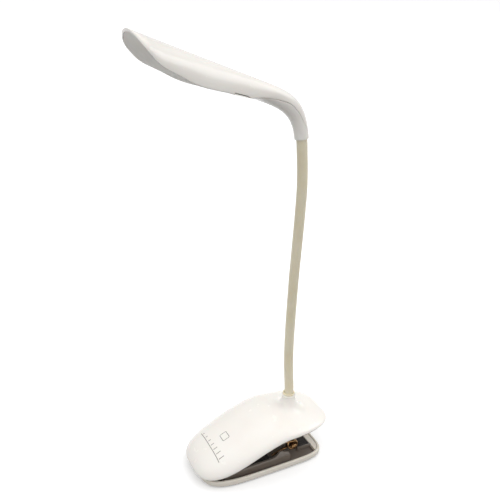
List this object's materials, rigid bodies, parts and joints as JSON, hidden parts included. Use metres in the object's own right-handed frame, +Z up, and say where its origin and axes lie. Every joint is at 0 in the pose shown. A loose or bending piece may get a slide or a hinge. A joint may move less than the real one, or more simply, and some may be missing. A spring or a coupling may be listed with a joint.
{
  "type": "clip on reading lamp",
  "caption": "Rechargeable clip-on reading lamp: sprung two-jaw clip with a smooth domed shell, flexible gooseneck and a leaf-shaped LED head lit from below.",
  "frame": {"origin": "centre of the lower jaw's sole, on the surface that the lamp stands on", "axes": "+Z up; the mouth of the clip and the head point to -Y; +X is the lamp's left-hand side seen from behind the head"},
  "size_m": [0.0654, 0.1547, 0.3317],
  "materials": {
    "white_abs": "injection-moulded ABS, warm white, high gloss",
    "cream_sleeve": "extruded silicone-PVC sleeve, cream, satin",
    "dark_rubber": "moulded rubber, matt",
    "spring_steel": "oil-tempered spring wire, bronze tint, polished",
    "zinc_steel": "zinc-plated steel",
    "brass_fitting": "turned brass",
    "frosted_lens": "frosted polycarbonate diffuser",
    "circuit_board": "solder-masked glass epoxy",
    "led_package": "phosphor-filled silicone in a white package",
    "battery_foil": "laminated pouch foil"
  },
  "bodies": {
    "lower_clip": {"base_sole": "dark_rubber", "lower_jaw": "white_abs", "lower_jaw_pad": "dark_rubber", "tray_mat_front": "dark_rubber", "tray_mat_rear": "dark_rubber", "pivot_pin": "spring_steel", "pin_clip_near": "spring_steel", "pin_clip_far": "spring_steel", "torsion_spring_near": "spring_steel", "torsion_spring_far": "spring_steel"},
    "upper_clip": {"upper_shell": "white_abs", "upper_cover": "white_abs", "upper_jaw_pad": "dark_rubber", "battery_cell": "battery_foil", "control_board": "circuit_board", "usb_socket": "zinc_steel", "touch_electrode": "brass_fitting", "cover_screw_near": "zinc_steel", "cover_screw_far": "zinc_steel", "neck_nut": "brass_fitting", "neck_seal_ring": "cream_sleeve", "gooseneck_sleeve_root": "cream_sleeve", "gooseneck_hose_root": "zinc_steel"},
    "neck_1": {"gooseneck_sleeve_1": "cream_sleeve", "gooseneck_hose_1": "zinc_steel"},
    "neck_2": {"gooseneck_sleeve_2": "cream_sleeve", "gooseneck_hose_2": "zinc_steel"},
    "neck_3": {"gooseneck_sleeve_3": "cream_sleeve", "gooseneck_hose_3": "zinc_steel"},
    "neck_4": {"gooseneck_sleeve_4": "cream_sleeve", "gooseneck_hose_4": "zinc_steel"},
    "neck_5": {"gooseneck_sleeve_5": "cream_sleeve", "gooseneck_hose_5": "zinc_steel"},
    "neck_6": {"gooseneck_sleeve_6": "cream_sleeve", "gooseneck_hose_6": "zinc_steel"},
    "neck_7": {"gooseneck_sleeve_7": "cream_sleeve", "gooseneck_hose_7": "zinc_steel"},
    "neck_8": {"gooseneck_sleeve_8": "cream_sleeve", "gooseneck_hose_8": "zinc_steel"},
    "head": {"gooseneck_sleeve_tip": "cream_sleeve", "gooseneck_hose_tip": "zinc_steel", "head_ferrule": "brass_fitting", "head_top_cover": "white_abs", "head_bottom_cover": "white_abs", "lens_diffuser": "frosted_lens", "led_board": "circuit_board", "led_near_1": "led_package", "led_far_1": "led_package", "led_near_2": "led_package", "led_far_2": "led_package", "led_near_3": "led_package", "led_far_3": "led_package", "led_near_4": "led_package", "led_far_4": "led_package", "led_near_5": "led_package", "led_far_5": "led_package", "board_screw_1": "zinc_steel", "board_screw_2": "zinc_steel"}
  },
  "joints": [
    {"name": "jaw_squeeze", "type": "hinge", "parent": "lower_clip", "child": "upper_clip", "pos_m": [0, 0.0242, 0.0132], "axis": [-1, 0, 0], "range_deg": [0, 22], "stiffness_Nm_per_rad": 1.2, "springref_deg": -28.65, "deforming": ["torsion_spring_near", "torsion_spring_far"]},
    {"name": "neck_bend_lower", "type": "hinge", "parent": "upper_clip", "child": "neck_1", "pos_m": [0, 0.0288, 0.057], "axis": [1, 0, 0], "range_deg": [-20, 20]},
    {"name": "neck_lean_1", "type": "hinge", "parent": "neck_1", "child": "neck_2", "pos_m": [0.00091, 0.02641, 0.08213], "axis": [0, 1, 0], "range_deg": [-20, 20]},
    {"name": "neck_bend_lower_2", "type": "hinge", "parent": "neck_2", "child": "neck_3", "pos_m": [0.00239, 0.02509, 0.10731], "axis": [1, 0, 0], "range_deg": [-20, 20]},
    {"name": "neck_lean", "type": "hinge", "parent": "neck_3", "child": "neck_4", "pos_m": [0.00417, 0.02434, 0.1325], "axis": [0, 1, 0], "range_deg": [-20, 20]},
    {"name": "neck_bend_upper_1", "type": "hinge", "parent": "neck_4", "child": "neck_5", "pos_m": [0.00603, 0.02379, 0.15768], "axis": [1, 0, 0], "range_deg": [-20, 20]},
    {"name": "neck_lean_3", "type": "hinge", "parent": "neck_5", "child": "neck_6", "pos_m": [0.00807, 0.02356, 0.18286], "axis": [0, 1, 0], "range_deg": [-20, 20]},
    {"name": "neck_bend_upper_2", "type": "hinge", "parent": "neck_6", "child": "neck_7", "pos_m": [0.01003, 0.02337, 0.20804], "axis": [1, 0, 0], "range_deg": [-20, 20]},
    {"name": "neck_lean_4", "type": "hinge", "parent": "neck_7", "child": "neck_8", "pos_m": [0.01149, 0.02289, 0.23325], "axis": [0, 1, 0], "range_deg": [-20, 20]},
    {"name": "neck_bend_upper", "type": "hinge", "parent": "neck_8", "child": "head", "pos_m": [0.012, 0.0208, 0.2584], "axis": [1, 0, 0], "range_deg": [-20, 20]}
  ],
  "couplings": [
    {"joint": "neck_lean_1", "follows": "neck_lean", "ratio": 1},
    {"joint": "neck_bend_lower_2", "follows": "neck_bend_lower", "ratio": 1},
    {"joint": "neck_bend_upper_1", "follows": "neck_bend_upper", "ratio": 1},
    {"joint": "neck_lean_3", "follows": "neck_lean", "ratio": 1},
    {"joint": "neck_bend_upper_2", "follows": "neck_bend_upper", "ratio": 1},
    {"joint": "neck_lean_4", "follows": "neck_lean", "ratio": 1}
  ]
}
